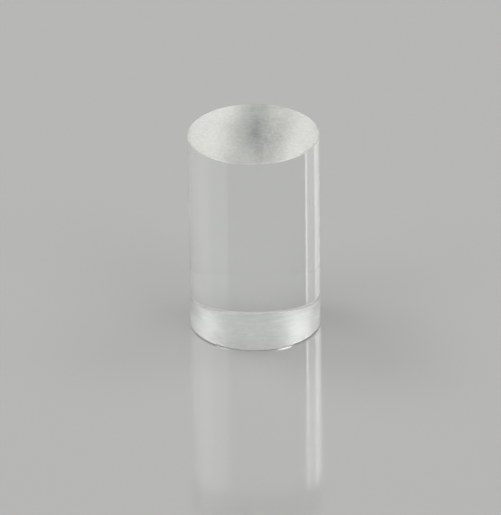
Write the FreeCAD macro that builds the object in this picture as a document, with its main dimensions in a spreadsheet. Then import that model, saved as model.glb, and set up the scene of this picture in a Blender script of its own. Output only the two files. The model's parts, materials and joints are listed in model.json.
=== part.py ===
"""Glass rod lens: a plain cylinder of optical crown glass.

The barrel is polished and does the optical work, as a lens with power across the axis only.
Both ends are ground flat and square to the barrel, and a small protective bevel takes the
sharp corner off each rim so that the glass doesn't chip.

The rod is one piece of glass, turned about its own axis: one half section, revolved.
Frame: millimetres, +Z along the rod, origin at the centre of the lower ground end.
"""
import FreeCAD, Part
import math
import os
import sys

import Sketcher

DOCUMENT = "GlassRodLens"
PARTS_FOLDER = "parts"
SHEET = "Sizes"

# Driving dimensions: alias, value, meaning. Lengths are millimetres and angles are degrees.
DIMENSIONS = [
    ("rod_diameter", 10.0, "across the polished barrel"),
    ("rod_length", 16.0, "from ground end to ground end"),
    ("bevel_leg", 0.1, "how far each protective bevel reaches in over its ground end"),
    ("bevel_angle", 45.0, "between each bevel and its ground end"),
]

# The numbers that name the two ends of a line, and the sketch's own origin.
START, END = 1, 2
ORIGIN = (-1, 1)


def make_sheet(doc):
    """The spreadsheet that every feature reads its sizes from."""
    sheet = doc.addObject("Spreadsheet::Sheet", SHEET)
    for row, (alias, value, meaning) in enumerate(DIMENSIONS, start=1):
        sheet.set(f"A{row}", alias)
        sheet.set(f"B{row}", f"{value:g}")
        sheet.set(f"C{row}", meaning)
        sheet.setAlias(f"B{row}", alias)
    doc.recompute()
    return sheet


def origin_feature(body, role):
    """The body's own plane or axis with that role."""
    return next(f for f in body.Origin.OriginFeatures if f.Role == role)


def bevel_rise(sheet):
    """How far each bevel reaches along the barrel, in millimetres."""
    return sheet.bevel_leg * math.tan(math.radians(sheet.bevel_angle))


def section_corners(sheet):
    """The half section's corners, going round from the centre of the foot."""
    radius, length, rise = sheet.rod_diameter / 2, sheet.rod_length, bevel_rise(sheet)
    inner = radius - sheet.bevel_leg
    return [
        (0.0, 0.0),
        (inner, 0.0),
        (radius, rise),
        (radius, length - rise),
        (inner, length),
        (0.0, length),
    ]


def draw_outline(sketch, sheet):
    """Draws the closed half section. Returns the number of each of its lines by name."""
    corners = [FreeCAD.Vector(x, z, 0) for x, z in section_corners(sheet)]
    names = ["foot", "foot_bevel", "barrel", "head_bevel", "head", "axis"]
    lines = {}
    for index, name in enumerate(names):
        after = corners[(index + 1) % len(corners)]
        lines[name] = sketch.addGeometry(Part.LineSegment(corners[index], after), False)
    for index, name in enumerate(names):
        following = names[(index + 1) % len(names)]
        sketch.addConstraint(
            Sketcher.Constraint("Coincident", lines[name], END, lines[following], START)
        )
    return lines


def bind(sketch, name, formula, *constraint):
    """Adds a constraint with a name, and ties its size to a formula of the sheet's cells."""
    number = sketch.addConstraint(Sketcher.Constraint(*constraint))
    sketch.renameConstraint(number, name)
    sketch.setExpression(f"Constraints.{name}", formula)


def constrain_outline(sketch, lines, sheet):
    """Squares the half section up and ties each of its sizes to the sheet."""
    foot, head, barrel, axis = (lines[name] for name in ("foot", "head", "barrel", "axis"))
    sketch.addConstraint(Sketcher.Constraint("Coincident", foot, START, *ORIGIN))
    for flat in (foot, head):
        sketch.addConstraint(Sketcher.Constraint("Horizontal", flat))
    for upright in (barrel, axis):
        sketch.addConstraint(Sketcher.Constraint("Vertical", upright))

    # From the axis out to the barrel, and up the axis from the foot to the head.
    across = (foot, START, barrel, START, sheet.rod_diameter / 2)
    upward = (axis, END, axis, START, sheet.rod_length)
    bind(sketch, "barrel_radius", f"{SHEET}.rod_diameter / 2", "DistanceX", *across)
    bind(sketch, "end_to_end", f"{SHEET}.rod_length", "DistanceY", *upward)

    # Both bevels are drawn going up. The foot's runs out to the barrel and the head's back in.
    rise_formula = f"{SHEET}.bevel_leg * tan({SHEET}.bevel_angle * 1 deg)"
    for name, inner, outer in (("foot_bevel", START, END), ("head_bevel", END, START)):
        bevel = lines[name]
        leg = (bevel, inner, bevel, outer, sheet.bevel_leg)
        rise = (bevel, START, bevel, END, bevel_rise(sheet))
        bind(sketch, f"{name}_leg", f"{SHEET}.bevel_leg", "DistanceX", *leg)
        bind(sketch, f"{name}_rise", rise_formula, "DistanceY", *rise)


def make_rod(doc, sheet):
    """The rod lens: its half section turned once about the axis."""
    body = doc.addObject("PartDesign::Body", "RodLens")
    body.Label = "rod_lens"
    section = body.newObject("Sketcher::SketchObject", "HalfSection")
    section.AttachmentSupport = [(origin_feature(body, "XZ_Plane"), "")]
    section.MapMode = "FlatFace"
    constrain_outline(section, draw_outline(section, sheet), sheet)
    doc.recompute()

    turned = body.newObject("PartDesign::Revolution", "TurnedRod")
    turned.Profile = section
    turned.ReferenceAxis = (section, ["V_Axis"])
    turned.Angle = 360.0
    section.Visibility = False
    body.Tip = turned
    return body


def check_document(doc, bodies):
    """Stops the build if any object failed or any body isn't one sound solid."""
    for item in doc.Objects:
        if {"Invalid", "Error"} & set(item.State):
            sys.exit(f"{item.Name} failed: {item.State}")
    for body in bodies:
        shape = body.Shape
        if shape.isNull() or not shape.isValid() or len(shape.Solids) != 1:
            sys.exit(f"{body.Label} isn't one sound solid")


def rod_volume(sheet):
    """The rod's volume by formula: a cylinder less the ring that each bevel takes off."""
    radius, rise = sheet.rod_diameter / 2, bevel_rise(sheet)
    inner = radius - sheet.bevel_leg
    bevel_slice = math.pi * rise * (radius**2 + radius * inner + inner**2) / 3
    return math.pi * radius**2 * (sheet.rod_length - 2 * rise) + 2 * bevel_slice


def main():
    """Builds the document, checks it and writes one STEP file for each piece."""
    doc = FreeCAD.newDocument(DOCUMENT)
    sheet = make_sheet(doc)
    bodies = [make_rod(doc, sheet)]
    doc.recompute()
    check_document(doc, bodies)
    os.makedirs(PARTS_FOLDER, exist_ok=True)
    for body in bodies:
        body.Shape.exportStep(os.path.join(PARTS_FOLDER, f"{body.Label}.step"))
        print(
            f"{body.Label}: {body.Shape.Volume:.3f} mm3, by formula {rod_volume(sheet):.3f} mm3,"
            f" {len(body.Shape.Faces)} faces, box {body.Shape.BoundBox}"
        )


main()
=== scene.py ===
"""Looks of a glass rod lens: polished barrel, fine ground ends, and the studio it stands in.

The rod is one piece of optical crown glass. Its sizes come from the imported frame. Lengths are in
metres, with +Z along the rod and the origin at the centre of the lower ground end.
"""
import json
import logging
import math
from dataclasses import dataclass, field
from enum import Enum

import bpy
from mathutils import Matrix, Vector

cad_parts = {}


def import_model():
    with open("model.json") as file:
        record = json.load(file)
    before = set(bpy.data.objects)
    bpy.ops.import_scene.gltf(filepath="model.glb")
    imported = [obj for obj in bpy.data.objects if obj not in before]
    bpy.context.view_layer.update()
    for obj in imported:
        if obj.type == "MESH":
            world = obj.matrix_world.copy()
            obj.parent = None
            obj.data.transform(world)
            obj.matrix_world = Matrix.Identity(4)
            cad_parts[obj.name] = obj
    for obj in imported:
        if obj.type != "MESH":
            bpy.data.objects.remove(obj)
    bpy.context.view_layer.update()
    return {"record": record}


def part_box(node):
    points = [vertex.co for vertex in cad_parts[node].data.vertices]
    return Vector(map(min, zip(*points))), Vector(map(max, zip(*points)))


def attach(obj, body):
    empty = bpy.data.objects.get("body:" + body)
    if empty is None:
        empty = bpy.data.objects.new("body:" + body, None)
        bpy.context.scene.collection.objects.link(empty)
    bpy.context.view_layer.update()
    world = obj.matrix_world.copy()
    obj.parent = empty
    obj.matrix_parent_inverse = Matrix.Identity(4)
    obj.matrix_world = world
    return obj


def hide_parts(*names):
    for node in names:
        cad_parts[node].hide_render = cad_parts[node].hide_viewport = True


log = logging.getLogger("rod_lens")

NODE = "rod_lens"
BODY = "root"
MM = 0.001

# The photograph's frame, in pixels, and the sensor's long side, in millimetres.
PHOTO_WIDTH = 501
PHOTO_HEIGHT = 515
SENSOR_MM = 36.0

# Refractive index of optical crown glass at yellow light.
CROWN_GLASS_IOR = 1.517

# Corners closer than this are one corner. Edges sharper than this angle stay crisp.
SEAM = 0.001 * MM
RIM_ANGLE = math.radians(20)

# The nearest and the farthest that the camera sees, in metres.
CLIP_NEAR = 0.05
CLIP_FAR = 50.0

# What a node's input takes: a number, or another node's output.
Value = float | bpy.types.NodeSocket


class Surface(Enum):
    """How each face of the rod was made. The value is the name of the surface's input."""

    BARREL = "Barrel Finish"
    FOOT_BEVEL = "Foot Bevel Finish"
    FOOT = "Foot Finish"
    HEAD = "Head Finish"


# Each surface's faces look further up than this: minus one is straight down and one straight up.
# A later surface takes over from an earlier one, so all start as the foot.
LEAST_UPWARD = {
    Surface.FOOT: -2.0,
    Surface.FOOT_BEVEL: -0.9,
    Surface.BARREL: -0.5,
    Surface.HEAD: 0.5,
}


def linear(hex_colour: str) -> tuple[float, float, float, float]:
    """Turns an sRGB hex colour into the linear colour that a shader takes.

    Args:
        hex_colour: Six hex digits with a leading hash.

    Returns:
        Red, green, blue and an alpha of one.
    """
    parts = [int(hex_colour[i : i + 2], 16) / 255 for i in (1, 3, 5)]
    curved = [c / 12.92 if c <= 0.04045 else ((c + 0.055) / 1.055) ** 2.4 for c in parts]
    return (*curved, 1.0)


def add_node(
    tree: bpy.types.NodeTree,
    kind: str,
    inputs: dict | None = None,
    **settings: object,
) -> bpy.types.Node:
    """Adds one node, with its settings, its values and its links.

    Args:
        tree: The shader or geometry tree that gets the node.
        kind: The node's type name.
        inputs: Values by the input's name or number. A socket there is linked.
        **settings: Properties of the node itself.

    Returns:
        The new node.
    """
    node = tree.nodes.new(kind)
    for name, value in settings.items():
        setattr(node, name, value)
    for key, value in (inputs or {}).items():
        if isinstance(value, bpy.types.NodeSocket):
            tree.links.new(value, node.inputs[key])
        else:
            node.inputs[key].default_value = value
    return node


@dataclass(frozen=True)
class PolishedCrownGlass:
    """Crown glass with an optical polish, as on the barrel.

    The eye gets a clear, almost colourless body with sharp highlights. Polishing leaves a very
    faint haze, drawn as patches of roughness far below what blurs a reflection.
    """

    name: str = "polished_crown_glass"
    body_hex: str = "#FBFDFB"
    ior: float = CROWN_GLASS_IOR
    haze_low: float = 0.0
    haze_high: float = 0.012
    haze_patch_mm: float = 2.5
    # Between which strengths of its noise the haze goes from least to most.
    haze_span: tuple[float, float] = (0.35, 0.7)

    def make(self) -> bpy.types.Material:
        """Builds the material.

        Returns:
            Clear glass, with its haze on Object coordinates.
        """
        material = bpy.data.materials.new(self.name)
        material.use_nodes = True
        tree = material.node_tree
        tree.nodes.clear()
        place = add_node(tree, "ShaderNodeTexCoord").outputs["Object"]
        haze = add_node(
            tree,
            "ShaderNodeTexNoise",
            {"Vector": place, "Scale": 1 / (self.haze_patch_mm * MM), "Detail": 3.0},
        )
        roughness = add_node(
            tree,
            "ShaderNodeMapRange",
            {
                "Value": haze.outputs["Fac"],
                "From Min": self.haze_span[0],
                "From Max": self.haze_span[1],
                "To Min": self.haze_low,
                "To Max": self.haze_high,
            },
        )
        glass = add_node(
            tree,
            "ShaderNodeBsdfPrincipled",
            {
                "Base Color": linear(self.body_hex),
                "Roughness": roughness.outputs["Result"],
                "IOR": self.ior,
                "Transmission Weight": 1.0,
            },
        )
        add_node(tree, "ShaderNodeOutputMaterial", {"Surface": glass.outputs["BSDF"]})
        return material


@dataclass(frozen=True)
class SmoothedCrownGlass(PolishedCrownGlass):
    """Crown glass smoothed with a fine stone, as on the foot's bevel.

    The eye gets a thin bright line where the foot meets the barrel, softer than a polished one.
    """

    name: str = "smoothed_crown_glass"
    haze_low: float = 0.18
    haze_high: float = 0.28
    haze_patch_mm: float = 0.5


@dataclass(frozen=True)
class GroundCrownGlass:
    """Crown glass ground with fine loose grit, as on the head and its bevel.

    The eye gets a milky white with a fine mottle. A long patch across the middle, drawn out along
    Y,
    is painted greyer and made clearer: the grey there is painted shade. The true pits are about
    0.01 mm across, too fine to show, so the grain is drawn about eight times as coarse. The clouds
    are at their real size.
    """

    name: str = "ground_crown_glass"
    light_hex: str = "#FBFBF5"
    # The grey of the painted shade in the middle patch, and of the darker mottle.
    mottle_and_painted_shade_hex: str = "#989E9B"
    ior: float = CROWN_GLASS_IOR
    clear_middle: float = 1.0
    clear_rim: float = 0.4
    roughness_low: float = 0.34
    roughness_high: float = 0.44
    grain_mm: float = 0.08
    grain_height_mm: float = 0.003
    cloud_mm: float = 0.22
    # How far out across X the painted shade patch reaches, and how many times as far it reaches
    # along Y.
    shade_patch_reach_mm: float = 3.6
    shade_patch_stretch: float = 3.4
    # The broad waves in the edge of the painted shade patch, and the seed that places them.
    wave_mm: float = 3.0
    wave_share: float = 0.5
    wave_seed: float = 6.0
    mottle_share: float = 0.66
    # How much the pits add to the mottle, and how much the mottle tints the glass; the rest of the
    # tint is the painted shade of the middle patch.
    grain_share: float = 0.35
    tint_share: float = 0.26
    # Between which strengths of its noise the mottle, and the way out of the painted shade patch,
    # goes from none to full.
    mottle_span: tuple[float, float] = (0.38, 0.62)
    out_of_shade_span: tuple[float, float] = (0.18, 0.73)

    def make(self) -> bpy.types.Material:
        """Builds the material.

        Returns:
            Milky glass, with its mottle and its greyer, clearer middle of painted shade, on Object
            coordinates.
        """
        material = bpy.data.materials.new(self.name)
        material.use_nodes = True
        tree = material.node_tree
        tree.nodes.clear()
        object_place = add_node(tree, "ShaderNodeTexCoord").outputs["Object"]
        # The place drawn together along Y, which draws the painted shade patch and its waves out
        # along Y.
        stretched_place = add_node(
            tree,
            "ShaderNodeMapping",
            {"Vector": object_place, "Scale": (1.0, 1 / self.shade_patch_stretch, 1.0)},
        ).outputs["Vector"]
        grain, cloud, wave = (
            add_node(
                tree,
                "ShaderNodeTexNoise",
                {
                    "Vector": place,
                    "W": self.wave_seed,
                    "Scale": 1 / (size * MM),
                    "Detail": detail,
                },
                noise_dimensions="4D",
            ).outputs["Fac"]
            for place, size, detail in (
                (object_place, self.grain_mm, 2.0),
                (object_place, self.cloud_mm, 3.0),
                (stretched_place, self.wave_mm, 1.0),
            )
        )
        mottle = self.mottle(tree, cloud, grain)
        # The painted shade: a greyer, clearer patch across the middle of the end, drawn out along
        # Y.
        out_of_shade = self.out_of_shade(tree, stretched_place, wave)
        # The tone is mostly this painted shade and partly the mottle.
        tone = add_node(
            tree, "ShaderNodeMix", {"Factor": self.tint_share, "A": out_of_shade, "B": mottle}
        )
        colour = add_node(
            tree,
            "ShaderNodeMix",
            {
                "Factor": tone.outputs["Result"],
                "A": linear(self.mottle_and_painted_shade_hex),
                "B": linear(self.light_hex),
            },
            data_type="RGBA",
        )
        roughness = add_node(
            tree,
            "ShaderNodeMapRange",
            {"Value": mottle, "To Min": self.roughness_low, "To Max": self.roughness_high},
        )
        pits = add_node(
            tree, "ShaderNodeBump", {"Height": grain, "Distance": self.grain_height_mm * MM}
        )
        glass = add_node(
            tree,
            "ShaderNodeBsdfPrincipled",
            {
                "Base Color": colour.outputs["Result"],
                "Roughness": roughness.outputs["Result"],
                "IOR": self.ior,
                "Transmission Weight": self.clearness(tree, out_of_shade, mottle),
                "Normal": pits.outputs["Normal"],
            },
        )
        add_node(tree, "ShaderNodeOutputMaterial", {"Surface": glass.outputs["BSDF"]})
        return material

    def mottle(self, tree: bpy.types.NodeTree, cloud: Value, grain: Value) -> Value:
        """Adds the nodes of the mottle.

        Args:
            tree: The material's tree.
            cloud: Noise of the clouds' size.
            grain: Noise of the pits' size.

        Returns:
            How strong the mottle is, from nought to one.
        """
        mixed = add_node(
            tree, "ShaderNodeMix", {"Factor": self.grain_share, "A": cloud, "B": grain}
        )
        least, most = self.mottle_span
        return add_node(
            tree,
            "ShaderNodeMapRange",
            {"Value": mixed.outputs["Result"], "From Min": least, "From Max": most},
        ).outputs["Result"]

    def out_of_shade(self, tree: bpy.types.NodeTree, stretched_place: Value, wave: Value) -> Value:
        """Adds the nodes of the painted shade patch in the middle of the end.

        Args:
            tree: The material's tree.
            stretched_place: The place on the rod, drawn together along Y.
            wave: Noise of the waves' size.

        Returns:
            How far out of the painted shade patch: nought about the rod's axis and one toward the
                rim.
        """
        flat = add_node(
            tree, "ShaderNodeVectorMath", {0: stretched_place, 1: (1.0, 1.0, 0.0)}, operation="MULTIPLY"
        )
        off_axis = add_node(
            tree, "ShaderNodeVectorMath", {0: flat.outputs["Vector"]}, operation="LENGTH"
        )
        reach = add_node(
            tree,
            "ShaderNodeMapRange",
            {"Value": off_axis.outputs["Value"], "From Max": self.shade_patch_reach_mm * MM},
            clamp=False,
        )
        waved = add_node(
            tree,
            "ShaderNodeMix",
            {"Factor": self.wave_share, "A": reach.outputs["Result"], "B": wave},
        )
        least, most = self.out_of_shade_span
        return add_node(
            tree,
            "ShaderNodeMapRange",
            {"Value": waved.outputs["Result"], "From Min": least, "From Max": most},
            interpolation_type="SMOOTHSTEP",
        ).outputs["Result"]

    def clearness(self, tree: bpy.types.NodeTree, out_of_shade: Value, mottle: Value) -> Value:
        """Adds the nodes of how clear the glass is.

        Args:
            tree: The material's tree.
            out_of_shade: How far out of the painted shade patch.
            mottle: How strong the mottle is.

        Returns:
            The share of light that the face lets through, mottled inside the painted shade patch.
        """
        patch_mottle = add_node(
            tree, "ShaderNodeMath", {0: mottle, 1: self.mottle_share}, operation="MULTIPLY"
        )
        # Milky outside the painted shade patch and mottled inside it.
        milkiness = add_node(
            tree, "ShaderNodeMix", {"Factor": out_of_shade, "A": patch_mottle.outputs["Value"], "B": 1.0}
        )
        return add_node(
            tree,
            "ShaderNodeMapRange",
            {
                "Value": milkiness.outputs["Result"],
                "To Min": self.clear_middle,
                "To Max": self.clear_rim,
            },
        ).outputs["Result"]


@dataclass(frozen=True)
class FineGroundCrownGlass(GroundCrownGlass):
    """Crown glass ground with a finer grit, as on the foot.

    The eye gets a milky band through the barrel. It is brighter at its ends than the head is,
    because a finer grind turns back more of the light inside the rod. Its middle is painted greyer
    as on the head: painted shade.
    """

    name: str = "fine_ground_crown_glass"
    clear_rim: float = 0.55
    mottle_share: float = 0.7
    cloud_mm: float = 0.8


@dataclass(frozen=True)
class PaleFloor:
    """Pale lacquered board, as laid under small glass parts.

    The eye gets a plain pale grey with a clear shine over it, which mirrors the rod's foot and the
    lamps a little.
    """

    name: str = "lacquered_board"
    board_hex: str = "#ACACAA"
    roughness: float = 0.09

    def make(self) -> bpy.types.Material:
        """Builds the material.

        Returns:
            Grey board under one coat of lacquer.
        """
        material = bpy.data.materials.new(self.name)
        material.use_nodes = True
        tree = material.node_tree
        tree.nodes.clear()
        board = add_node(
            tree,
            "ShaderNodeBsdfPrincipled",
            {
                "Base Color": linear(self.board_hex),
                "Roughness": self.roughness,
                "Coat Weight": 1.0,
                "Coat Roughness": self.roughness,
            },
        )
        add_node(tree, "ShaderNodeOutputMaterial", {"Surface": board.outputs["BSDF"]})
        return material


@dataclass
class RodLens:
    """The glass rod: a cylinder with a bevel at each rim, ground at both ends.

    Attributes:
        radius: Of the polished barrel.
        length: From ground end to ground end.
        bevel: How far each bevel reaches in over its end, and along the barrel.
        around: Corners around the barrel. So many leave it round to a ten-thousandth.
        barrel: Finish of the barrel.
        foot_bevel: Finish of the lower bevel.
        foot: Finish of the lower end.
        head: Finish of the upper end and its bevel.
    """

    radius: float
    length: float
    bevel: float
    around: int = 512
    barrel: PolishedCrownGlass = field(default_factory=PolishedCrownGlass)
    foot_bevel: SmoothedCrownGlass = field(default_factory=SmoothedCrownGlass)
    foot: FineGroundCrownGlass = field(default_factory=FineGroundCrownGlass)
    head: GroundCrownGlass = field(default_factory=GroundCrownGlass)

    @classmethod
    def from_frame(cls, record: dict) -> "RodLens":
        """Takes the rod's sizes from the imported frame.

        Args:
            record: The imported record, whose barrel mount ends at the bevels.

        Returns:
            A rod of those sizes.
        """
        low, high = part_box(NODE)
        barrel = next(mount for mount in record["mounts"] if mount["name"] == "barrel")
        length = high.z - low.z
        # The frame's flat facets reach a hair less far on some sides. The least reach stays inside.
        return cls(
            radius=min(-low.x, high.x, -low.y, high.y),
            length=length,
            bevel=(length - barrel["dims"]["length_mm"] * MM) / 2,
        )

    def tree(self) -> bpy.types.GeometryNodeTree:
        """Builds the node tree of the rod, with an input for each size and finish.

        Returns:
            The tree, which stands the rod on its foot with its axis on the origin.
        """
        tree = bpy.data.node_groups.new("turned_rod", "GeometryNodeTree")
        face = tree.interface
        face.new_socket("Geometry", in_out="OUTPUT", socket_type="NodeSocketGeometry")
        for name in ("Radius", "Length", "Bevel"):
            face.new_socket(name, in_out="INPUT", socket_type="NodeSocketFloat")
        face.new_socket("Around", in_out="INPUT", socket_type="NodeSocketInt")
        for surface in Surface:
            face.new_socket(surface.value, in_out="INPUT", socket_type="NodeSocketMaterial")
        given = add_node(tree, "NodeGroupInput").outputs
        turned = self.turned(tree, given)
        dressed = self.dressed(tree, given, self.shaded(tree, turned))
        add_node(tree, "NodeGroupOutput", {"Geometry": dressed})
        return tree

    @staticmethod
    def ring(
        tree: bpy.types.NodeTree,
        around: Value,
        radii: tuple[Value, Value],
        tall: Value,
        start: Value,
    ) -> bpy.types.NodeSocket:
        """Adds a band of faces round the axis.

        Args:
            tree: The tree that gets the band.
            around: Its corners around.
            radii: Its radius at the bottom and at the top.
            tall: Its height.
            start: How far up the rod it starts.

        Returns:
            The band's geometry.
        """
        band = add_node(
            tree,
            "GeometryNodeMeshCone",
            {
                "Vertices": around,
                "Radius Top": radii[1],
                "Radius Bottom": radii[0],
                "Depth": tall,
            },
            fill_type="NONE",
        )
        at = add_node(tree, "ShaderNodeCombineXYZ", {"Z": start})
        return add_node(
            tree,
            "GeometryNodeTransform",
            {"Geometry": band.outputs["Mesh"], "Translation": at.outputs[0]},
        ).outputs["Geometry"]

    def turned(
        self, tree: bpy.types.NodeTree, given: bpy.types.NodeOutputs
    ) -> bpy.types.NodeSocket:
        """Adds the barrel, two bevels and two ends, and joins them.

        Args:
            tree: The rod's tree.
            given: The tree's inputs.

        Returns:
            The rod's closed surface.
        """
        around, radius, length, bevel = (
            given[name] for name in ("Around", "Radius", "Length", "Bevel")
        )
        inner, barrel_top = (
            add_node(tree, "ShaderNodeMath", {0: whole, 1: bevel}, operation="SUBTRACT").outputs[0]
            for whole in (radius, length)
        )
        barrel_length = add_node(
            tree, "ShaderNodeMath", {0: barrel_top, 1: bevel}, operation="SUBTRACT"
        ).outputs[0]
        disc = add_node(
            tree,
            "GeometryNodeMeshCircle",
            {"Vertices": around, "Radius": inner},
            fill_type="TRIANGLE_FAN",
        ).outputs["Mesh"]
        foot = add_node(tree, "GeometryNodeFlipFaces", {"Mesh": disc}).outputs["Mesh"]
        head_at = add_node(tree, "ShaderNodeCombineXYZ", {"Z": length})
        head = add_node(
            tree, "GeometryNodeTransform", {"Geometry": disc, "Translation": head_at.outputs[0]}
        ).outputs["Geometry"]
        parts = add_node(tree, "GeometryNodeJoinGeometry")
        for part in (
            foot,
            self.ring(tree, around, (inner, radius), bevel, 0.0),
            self.ring(tree, around, (radius, radius), barrel_length, bevel),
            self.ring(tree, around, (radius, inner), bevel, barrel_top),
            head,
        ):
            tree.links.new(part, parts.inputs["Geometry"])
        return add_node(
            tree,
            "GeometryNodeMergeByDistance",
            {"Geometry": parts.outputs["Geometry"], "Distance": SEAM},
        ).outputs["Geometry"]

    def shaded(
        self, tree: bpy.types.NodeTree, turned: bpy.types.NodeSocket
    ) -> bpy.types.NodeSocket:
        """Shades the round faces smooth and keeps the rims crisp.

        Args:
            tree: The rod's tree.
            turned: The rod's closed surface.

        Returns:
            The same surface, shaded.
        """
        smooth = add_node(
            tree,
            "GeometryNodeSetShadeSmooth",
            {"Geometry": turned, "Shade Smooth": True},
            domain="FACE",
        )
        edge_angle = add_node(tree, "GeometryNodeInputMeshEdgeAngle").outputs["Unsigned Angle"]
        rim = add_node(
            tree, "ShaderNodeMath", {0: edge_angle, 1: RIM_ANGLE}, operation="GREATER_THAN"
        )
        return add_node(
            tree,
            "GeometryNodeSetShadeSmooth",
            {
                "Geometry": smooth.outputs["Geometry"],
                "Selection": rim.outputs[0],
                "Shade Smooth": False,
            },
            domain="EDGE",
        ).outputs["Geometry"]

    def dressed(
        self,
        tree: bpy.types.NodeTree,
        given: bpy.types.NodeOutputs,
        shaded: bpy.types.NodeSocket,
    ) -> bpy.types.NodeSocket:
        """Gives each face its finish.

        Args:
            tree: The rod's tree.
            given: The tree's inputs.
            shaded: The rod's surface.

        Returns:
            The finished rod.
        """
        dressed = add_node(tree, "GeometryNodeRealizeInstances", {"Geometry": shaded}).outputs[
            "Geometry"
        ]
        normal = add_node(tree, "GeometryNodeInputNormal").outputs["Normal"]
        upward = add_node(tree, "ShaderNodeSeparateXYZ", {0: normal}).outputs["Z"]
        for surface, least in LEAST_UPWARD.items():
            chosen = add_node(
                tree, "ShaderNodeMath", {0: upward, 1: least}, operation="GREATER_THAN"
            )
            dressed = add_node(
                tree,
                "GeometryNodeSetMaterial",
                {
                    "Geometry": dressed,
                    "Selection": chosen.outputs[0],
                    "Material": given[surface.value],
                },
            ).outputs["Geometry"]
        return dressed

    def build(self) -> bpy.types.Object:
        """Builds the rod as one plain mesh and gives it to the frame.

        Returns:
            The finished piece, riding on the frame's body in place of its plain node.
        """
        tree = self.tree()
        values = {
            "Radius": self.radius,
            "Length": self.length,
            "Bevel": self.bevel,
            "Around": self.around,
            Surface.BARREL.value: self.barrel.make(),
            Surface.FOOT_BEVEL.value: self.foot_bevel.make(),
            Surface.FOOT.value: self.foot.make(),
            Surface.HEAD.value: self.head.make(),
        }
        carrier = bpy.data.objects.new("rod_carrier", bpy.data.meshes.new("rod_carrier"))
        bpy.context.collection.objects.link(carrier)
        modifier = carrier.modifiers.new("turned_rod", "NODES")
        modifier.node_group = tree
        for item in tree.interface.items_tree:
            if item.item_type == "SOCKET" and item.in_out == "INPUT":
                modifier[item.identifier] = values[item.name]
        graph = bpy.context.evaluated_depsgraph_get()
        mesh = bpy.data.meshes.new_from_object(carrier.evaluated_get(graph), depsgraph=graph)
        bpy.data.objects.remove(carrier)
        mesh.name = "glass_rod"
        piece = bpy.data.objects.new("glass_rod", mesh)
        bpy.context.collection.objects.link(piece)
        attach(piece, BODY)
        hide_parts(NODE)
        return piece


@dataclass(frozen=True)
class Softbox:
    """A rectangular lamp behind white cloth, aimed at the middle of the rod.

    Attributes:
        name: The lamp's name.
        azimuth: Degrees round from straight behind the rod, positive to the camera's right.
        elevation: Degrees above the floor.
        spread: Degrees that the lit cloth spans from side to side, seen from the rod.
        rise: Degrees that it spans from its lower to its upper edge.
        brightness: Of the lit cloth, where white paper in plain light is one.
        distance: From the rod.
    """

    name: str
    azimuth: float
    elevation: float
    spread: float
    rise: float
    brightness: float
    distance: float = 1.2

    def build(self, aim: Vector) -> bpy.types.Object:
        """Builds the lamp.

        Args:
            aim: The point that the lamp faces.

        Returns:
            The lamp's object.
        """
        lamp = bpy.data.lights.new(self.name, "AREA")
        lamp.shape = "RECTANGLE"
        lamp.size = 2 * self.distance * math.tan(math.radians(self.spread) / 2)
        lamp.size_y = 2 * self.distance * math.tan(math.radians(self.rise) / 2)
        lamp.energy = self.brightness * math.pi * lamp.size * lamp.size_y
        turn, lift = math.radians(self.azimuth), math.radians(self.elevation)
        outward = Vector(
            (math.sin(turn) * math.cos(lift), math.cos(turn) * math.cos(lift), math.sin(lift))
        )
        lamp_object = bpy.data.objects.new(self.name, lamp)
        lamp_object.location = aim + outward * self.distance
        lamp_object.rotation_euler = outward.to_track_quat("Z", "Y").to_euler()
        lamp_object.visible_camera = False
        bpy.context.collection.objects.link(lamp_object)
        return lamp_object


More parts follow.
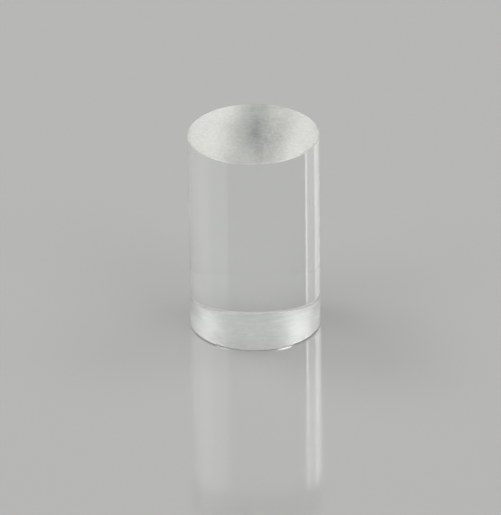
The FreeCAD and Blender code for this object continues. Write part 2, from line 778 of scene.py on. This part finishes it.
@dataclass
class Studio:
    """A plain pale floor, soft lamps and an even surrounding light."""

    floor: PaleFloor = field(default_factory=PaleFloor)
    floor_radius: float = 6.0
    floor_corners: int = 96
    # The floor lies this far under the rod, so that the two don't share a plane.
    floor_drop: float = 0.02 * MM
    surround_hex: str = "#FFFFFF"
    surround_light: float = 0.2
    surround_seen: float = 0.55
    softboxes: tuple[Softbox, ...] = (
        # The floor mirrors these into the barrel: its bright edge, strip, line and paler left side.
        Softbox("left_panel", -81.0, 28.0, 30.0, 7.0, 1.9),
        Softbox("left_dim_panel", -56.3, 28.5, 15.8, 14.0, 0.5),
        Softbox("left_strip", -46.0, 28.5, 2.4, 14.0, 1.6),
        Softbox("right_dim_panel", 61.0, 28.5, 74.0, 14.0, 0.22),
        # These shine down through the barrel on the foot, and whiten the ends of its milky band.
        Softbox("left_high_panel", -88.0, 60.0, 28.0, 16.0, 1.5),
        Softbox("left_back_panel", -54.0, 54.0, 24.0, 20.0, 4.6),
        Softbox("left_low_panel", -62.0, 15.0, 62.0, 12.0, 0.55),
        Softbox("right_panel", 95.0, 52.0, 30.0, 20.0, 1.4),
        Softbox("right_back_panel", 60.0, 54.0, 24.0, 20.0, 2.4),
        Softbox("right_low_panel", 62.0, 15.0, 62.0, 12.0, 0.55),
        # These fill the shadows.
        Softbox("left_front_panel", -118.0, 46.0, 30.0, 34.0, 1.3),
        Softbox("front_panel", 135.0, 45.0, 25.0, 30.0, 1.8),
        Softbox("overhead_softbox", 180.0, 85.0, 50.0, 50.0, 1.4),
    )

    def build(self, aim: Vector) -> None:
        """Builds the floor, the lamps and the surrounding light.

        Args:
            aim: The point that the lamps face.
        """
        corners = [
            (
                self.floor_radius * math.cos(2 * math.pi * i / self.floor_corners),
                self.floor_radius * math.sin(2 * math.pi * i / self.floor_corners),
                -self.floor_drop,
            )
            for i in range(self.floor_corners)
        ]
        mesh = bpy.data.meshes.new("floor")
        mesh.from_pydata(corners, [], [list(range(self.floor_corners))])
        mesh.materials.append(self.floor.make())
        floor = bpy.data.objects.new("floor", mesh)
        bpy.context.collection.objects.link(floor)
        for softbox in self.softboxes:
            softbox.build(aim)
        bpy.context.scene.world = self.surroundings()

    def surroundings(self) -> bpy.types.World:
        """Builds the even light all round.

        Returns:
            The world. It is seen pale, also in glass and in gloss, and lights the rest softly.
        """
        world = bpy.data.worlds.new("surround")
        world.use_nodes = True
        tree = world.node_tree
        tree.nodes.clear()
        path = add_node(tree, "ShaderNodeLightPath").outputs
        seen = path["Is Camera Ray"]
        for ray in ("Is Glossy Ray", "Is Transmission Ray"):
            seen = add_node(
                tree, "ShaderNodeMath", {0: seen, 1: path[ray]}, operation="MAXIMUM"
            ).outputs["Value"]
        strength = add_node(
            tree,
            "ShaderNodeMix",
            {"Factor": seen, "A": self.surround_light, "B": self.surround_seen},
            data_type="FLOAT",
        )
        light = add_node(
            tree,
            "ShaderNodeBackground",
            {"Color": linear(self.surround_hex), "Strength": strength.outputs["Result"]},
        )
        add_node(tree, "ShaderNodeOutputWorld", {"Surface": light.outputs["Background"]})
        return world


@dataclass(frozen=True)
class PhotoCamera:
    """The photograph's viewpoint, as fitted to the rod's outline.

    Attributes:
        elevation: Degrees that the camera stands above the level of the rod's middle.
        diameters_away: Distance to the rod's middle, in rod diameters.
        focal_pixels: Focal length in pixels of the photograph.
        middle_x: Pixel across at which the rod's middle stands.
        middle_y: Pixel down at which the rod's middle stands.
        roll: Degrees that the camera is turned about its own line of sight.
    """

    elevation: float = 27.68
    diameters_away: float = 88.73
    focal_pixels: float = 11682.0
    middle_x: float = 254.79
    middle_y: float = 227.18
    roll: float = -0.627

    def build(self, rod: RodLens) -> bpy.types.Object:
        """Builds the camera and makes it the scene's own.

        Args:
            rod: The rod that the camera looks at.

        Returns:
            The camera's object.
        """
        rise = math.radians(self.elevation)
        distance = self.diameters_away * 2 * rod.radius
        outward = Vector((0.0, -math.cos(rise), math.sin(rise)))
        right = Vector((1.0, 0.0, 0.0))
        forward = -outward
        up = right.cross(forward)
        # Turn the line of sight so that the rod's middle falls on its pixel.
        pan = math.atan2(self.middle_x - PHOTO_WIDTH / 2, self.focal_pixels)
        tilt = math.atan2(
            -(self.middle_y - PHOTO_HEIGHT / 2),
            math.hypot(self.middle_x - PHOTO_WIDTH / 2, self.focal_pixels),
        )
        forward, right = (
            math.cos(pan) * forward - math.sin(pan) * right,
            math.cos(pan) * right + math.sin(pan) * forward,
        )
        forward, up = (
            math.cos(tilt) * forward - math.sin(tilt) * up,
            math.cos(tilt) * up + math.sin(tilt) * forward,
        )
        turn = math.radians(self.roll)
        right, up = (
            math.cos(turn) * right + math.sin(turn) * up,
            math.cos(turn) * up - math.sin(turn) * right,
        )
        camera = bpy.data.cameras.new("photo_camera")
        camera.sensor_width = SENSOR_MM
        camera.lens = self.focal_pixels * SENSOR_MM / PHOTO_HEIGHT
        camera.clip_start = CLIP_NEAR
        camera.clip_end = CLIP_FAR
        camera_object = bpy.data.objects.new("photo_camera", camera)
        bpy.context.collection.objects.link(camera_object)
        matrix = camera_object.matrix_world.copy()
        for column, axis in enumerate((right, up, -forward)):
            for row in range(3):
                matrix[row][column] = axis[row]
        matrix.translation = Vector((0.0, 0.0, rod.length / 2)) + outward * distance
        camera_object.matrix_world = matrix
        bpy.context.scene.camera = camera_object
        return camera_object


def main() -> None:
    """Builds the rod, the studio and the camera."""
    logging.basicConfig(level=logging.INFO, format="%(message)s")
    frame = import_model()

    rod = RodLens.from_frame(frame["record"])
    log.info("rod: radius %.6f, length %.6f, bevel %.6f", rod.radius, rod.length, rod.bevel)
    piece = rod.build()
    mesh = piece.data
    log.info("%s: %d corners, %d faces", piece.name, len(mesh.vertices), len(mesh.polygons))

    Studio().build(Vector((0.0, 0.0, rod.length / 2)))
    bpy.context.scene.view_settings.view_transform = "Standard"
    PhotoCamera().build(rod)


if __name__ == "__main__":
    main()
